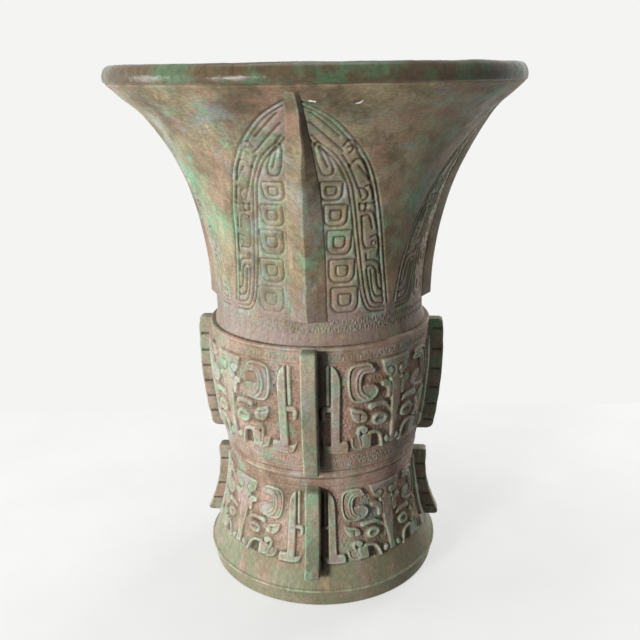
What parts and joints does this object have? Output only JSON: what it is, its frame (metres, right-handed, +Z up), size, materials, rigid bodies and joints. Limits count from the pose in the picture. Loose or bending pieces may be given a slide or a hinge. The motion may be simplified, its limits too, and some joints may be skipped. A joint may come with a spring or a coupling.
{
  "type": "bronze zun wine vessel",
  "caption": "Trumpet-mouthed ritual wine vessel in patinated bronze: barrel belly, flared hollow foot, notched flanges, and cast mask, leaf-blade and thunder-pattern ornament.",
  "frame": {"origin": "centre of the foot's ground plane, on the vessel's axis", "axes": "+Z up along the vessel's axis, -Y towards the front flange, +X towards the right flange"},
  "size_m": [0.297, 0.297, 0.39],
  "materials": {
    "bronze_wall": "patinated cast bronze, grey-brown with green and blue-grey patches",
    "bronze_flange": "patinated cast bronze, brown with green verdigris on the worn edges",
    "bronze_relief": "patinated cast bronze relief, green-grey on its tops and dark in its hollows"
  },
  "bodies": {
    "root": {"neck": "bronze_wall", "belly": "bronze_wall", "vessel_floor": "bronze_wall", "foot": "bronze_wall", "neck_ridge_front": "bronze_flange", "neck_ridge_right": "bronze_flange", "neck_ridge_back": "bronze_flange", "neck_ridge_left": "bronze_flange", "belly_flange_front": "bronze_flange", "belly_flange_right": "bronze_flange", "belly_flange_back": "bronze_flange", "belly_flange_left": "bronze_flange", "foot_flange_front": "bronze_flange", "foot_flange_right": "bronze_flange", "foot_flange_back": "bronze_flange", "foot_flange_left": "bronze_flange", "neck_leaf_front": "bronze_relief", "neck_leaf_right": "bronze_relief", "neck_leaf_back": "bronze_relief", "neck_leaf_left": "bronze_relief", "belly_mask_1": "bronze_relief", "belly_mask_2": "bronze_relief", "belly_mask_3": "bronze_relief", "belly_mask_4": "bronze_relief", "foot_mask_1": "bronze_relief", "foot_mask_2": "bronze_relief", "foot_mask_3": "bronze_relief", "foot_mask_4": "bronze_relief", "neck_band": "bronze_relief", "belly_upper_band": "bronze_relief", "belly_lower_band": "bronze_relief"}
  },
  "joints": []
}
